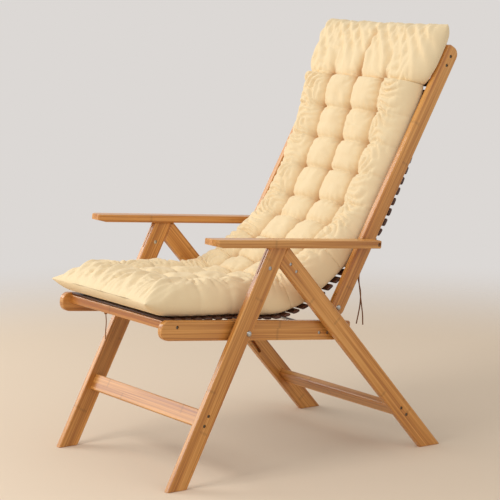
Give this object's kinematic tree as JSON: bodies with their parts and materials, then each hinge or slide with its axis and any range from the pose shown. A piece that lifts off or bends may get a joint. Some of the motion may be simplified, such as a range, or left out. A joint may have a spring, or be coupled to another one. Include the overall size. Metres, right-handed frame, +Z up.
{
  "type": "sun lounger",
  "caption": "Folding bamboo lounger with a slung slat seat, reclining back, flat armrests, crossed legs and a tufted cushion.",
  "frame": {"origin": "on the ground plane, under the middle of the part's box", "axes": "+Z up, the front of the lounger faces -Y, and +X is the sitter's left"},
  "size_m": [0.608, 0.9546, 1.1268],
  "materials": {
    "honey_bamboo": "satin lacquered bamboo board",
    "dark_bamboo_slats": "satin, stained very dark",
    "plated_steel": "zinc plated, half gloss",
    "cream_cotton": "matt woven cotton"
  },
  "bodies": {
    "rear_frame": {"rear_leg_left": "honey_bamboo", "rear_leg_right": "honey_bamboo", "rear_stretcher": "honey_bamboo", "leg_hinge_plate_left": "plated_steel", "leg_hinge_plate_right": "plated_steel", "rear_stretcher_screw_upper_left": "plated_steel", "rear_stretcher_screw_lower_left": "plated_steel", "rear_stretcher_screw_upper_right": "plated_steel", "rear_stretcher_screw_lower_right": "plated_steel", "leg_plate_screw_upper_left": "plated_steel", "leg_plate_screw_lower_left": "plated_steel", "leg_plate_screw_upper_right": "plated_steel", "leg_plate_screw_lower_right": "plated_steel"},
    "front_legs": {"front_leg_left": "honey_bamboo", "front_leg_right": "honey_bamboo", "front_stretcher": "honey_bamboo", "leg_hinge_bolt_left": "plated_steel", "leg_hinge_bolt_right": "plated_steel", "front_stretcher_screw_upper_left": "plated_steel", "front_stretcher_screw_lower_left": "plated_steel", "front_stretcher_screw_upper_right": "plated_steel", "front_stretcher_screw_lower_right": "plated_steel"},
    "seat_frame": {"seat_rail_left": "honey_bamboo", "seat_rail_right": "honey_bamboo", "seat_front_bar": "honey_bamboo", "seat_sliding_rod": "plated_steel", "seat_slat_mat": "dark_bamboo_slats", "seat_cushion": "cream_cotton", "back_hinge_plate_left": "plated_steel", "back_hinge_plate_right": "plated_steel", "seat_pivot_bolt_left": "plated_steel", "seat_pivot_bolt_right": "plated_steel", "seat_front_bar_screw_left": "plated_steel", "seat_front_bar_screw_right": "plated_steel", "back_plate_screw_front_left": "plated_steel", "back_plate_screw_rear_left": "plated_steel", "back_plate_screw_front_right": "plated_steel", "back_plate_screw_rear_right": "plated_steel", "front_tie_band": "cream_cotton", "front_tie_end_1": "cream_cotton"},
    "back_hinge": {"back_pivot_bolt_left": "plated_steel", "back_pivot_bolt_right": "plated_steel", "crease_slat_mat": "dark_bamboo_slats", "rear_tie_band": "cream_cotton", "rear_tie_end_1": "cream_cotton", "rear_tie_end_2": "cream_cotton"},
    "back_frame": {"back_rail_left": "honey_bamboo", "back_rail_right": "honey_bamboo", "head_bar": "honey_bamboo", "back_slat_mat": "dark_bamboo_slats", "back_cushion": "cream_cotton", "head_pillow": "cream_cotton", "head_bar_screw_upper_left": "plated_steel", "head_bar_screw_lower_left": "plated_steel", "head_bar_screw_upper_right": "plated_steel", "head_bar_screw_lower_right": "plated_steel"},
    "armrest_left": {"armrest_left": "honey_bamboo", "armrest_bolt_left": "plated_steel"},
    "armrest_right": {"armrest_right": "honey_bamboo", "armrest_bolt_right": "plated_steel"}
  },
  "joints": [
    {"name": "fold", "type": "hinge", "parent": "rear_frame", "child": "front_legs", "pos_m": [0, -0.14713, 0.53094], "axis": [1, 0, 0], "range_deg": [0, 67], "deforming": ["seat_cushion", "back_cushion", "head_pillow"]},
    {"name": "seat_fold", "type": "hinge", "parent": "front_legs", "child": "seat_frame", "pos_m": [0, -0.21217, 0.37194], "axis": [1, 0, 0], "range_deg": [-105, 0]},
    {"name": "recline", "type": "hinge", "parent": "seat_frame", "child": "back_hinge", "pos_m": [0, 0.08682, 0.40294], "axis": [-1, 0, 0], "range_deg": [0, 20], "deforming": ["crease_slat_mat", "rear_tie_end_1", "rear_tie_end_2"]},
    {"name": "back_fold", "type": "hinge", "parent": "back_hinge", "child": "back_frame", "pos_m": [0, 0.08682, 0.40294], "axis": [1, 0, 0], "range_deg": [0, 112]},
    {"name": "armrest_fold_left", "type": "hinge", "parent": "back_frame", "child": "armrest_left", "pos_m": [0.28, 0.18062, 0.56541], "axis": [1, 0, 0], "range_deg": [-118, 0]},
    {"name": "armrest_fold_right", "type": "hinge", "parent": "back_frame", "child": "armrest_right", "pos_m": [-0.28, 0.18062, 0.56541], "axis": [1, 0, 0], "range_deg": [-118, 0]}
  ],
  "couplings": [
    {"joint": "seat_fold", "follows": "fold", "ratio": -1.5635},
    {"joint": "back_fold", "follows": "fold", "ratio": 1.66},
    {"joint": "armrest_fold_left", "follows": "fold", "ratio": -1.752},
    {"joint": "armrest_fold_right", "follows": "fold", "ratio": -1.752}
  ]
}
